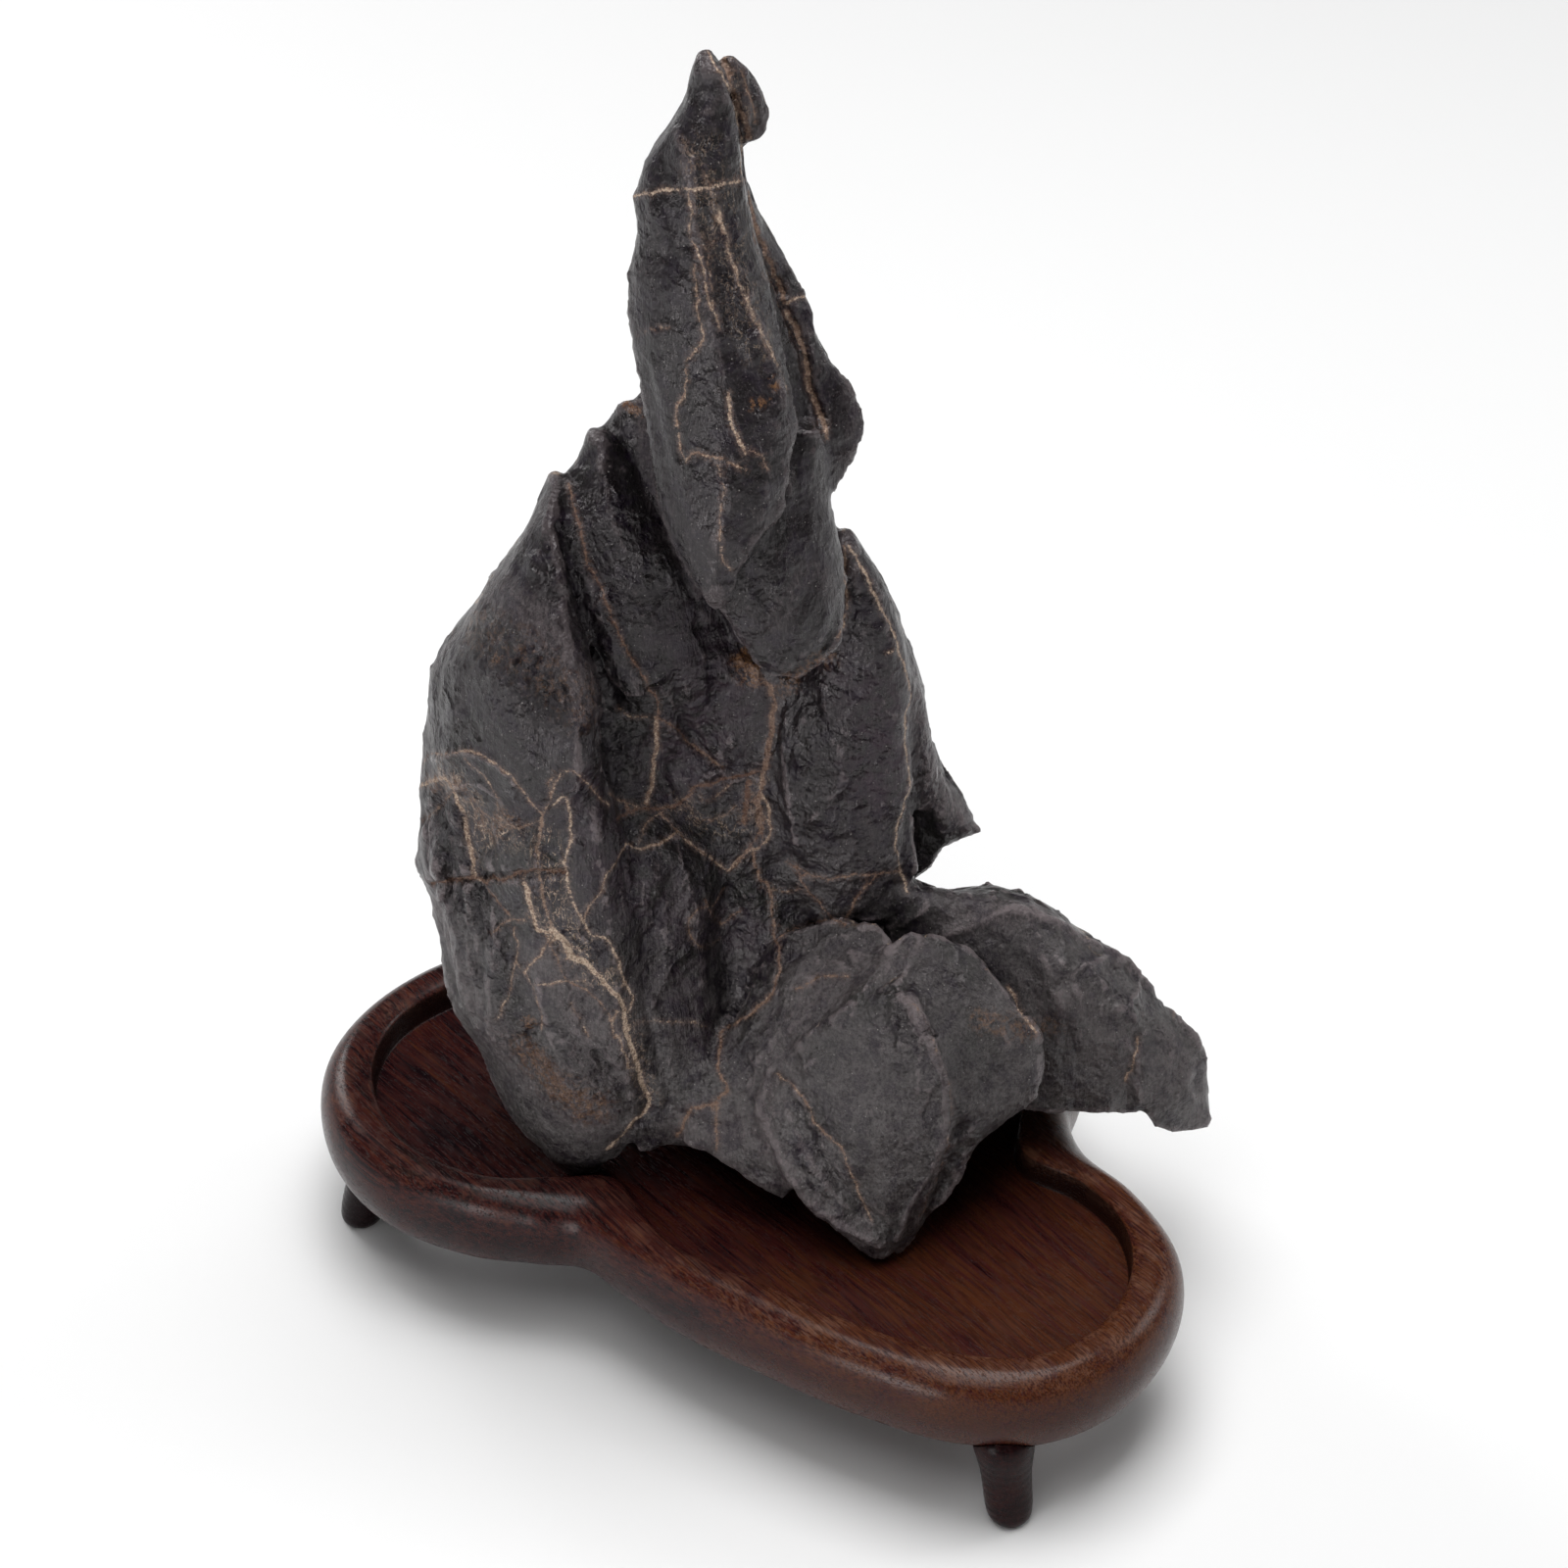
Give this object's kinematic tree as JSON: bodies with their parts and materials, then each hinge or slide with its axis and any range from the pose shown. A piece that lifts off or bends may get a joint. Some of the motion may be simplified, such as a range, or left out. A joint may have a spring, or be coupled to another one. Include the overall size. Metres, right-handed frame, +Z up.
{
  "type": "scholar stone on a wooden stand",
  "caption": "Upright dark limestone scholar stone with pale mineral veins, seated in a lobed dark wooden tray stand on short turned legs.",
  "frame": {"origin": "middle of the whole piece's footprint, on the surface that the legs stand on", "axes": "+Z up, +X along the long front side of the tray, -Y towards that front side"},
  "size_m": [0.289, 0.1898, 0.4316],
  "materials": {
    "stone": "satin, charcoal black with cream and rust mineral veins",
    "tray_wood": "oiled dark red-brown rosewood, satin",
    "leg_wood": "oiled dark rosewood, satin"
  },
  "bodies": {
    "root": {"stone": "stone", "tray": "tray_wood", "leg_front_left": "leg_wood", "leg_front_right": "leg_wood", "leg_back_right": "leg_wood", "leg_back_left": "leg_wood"}
  },
  "joints": []
}
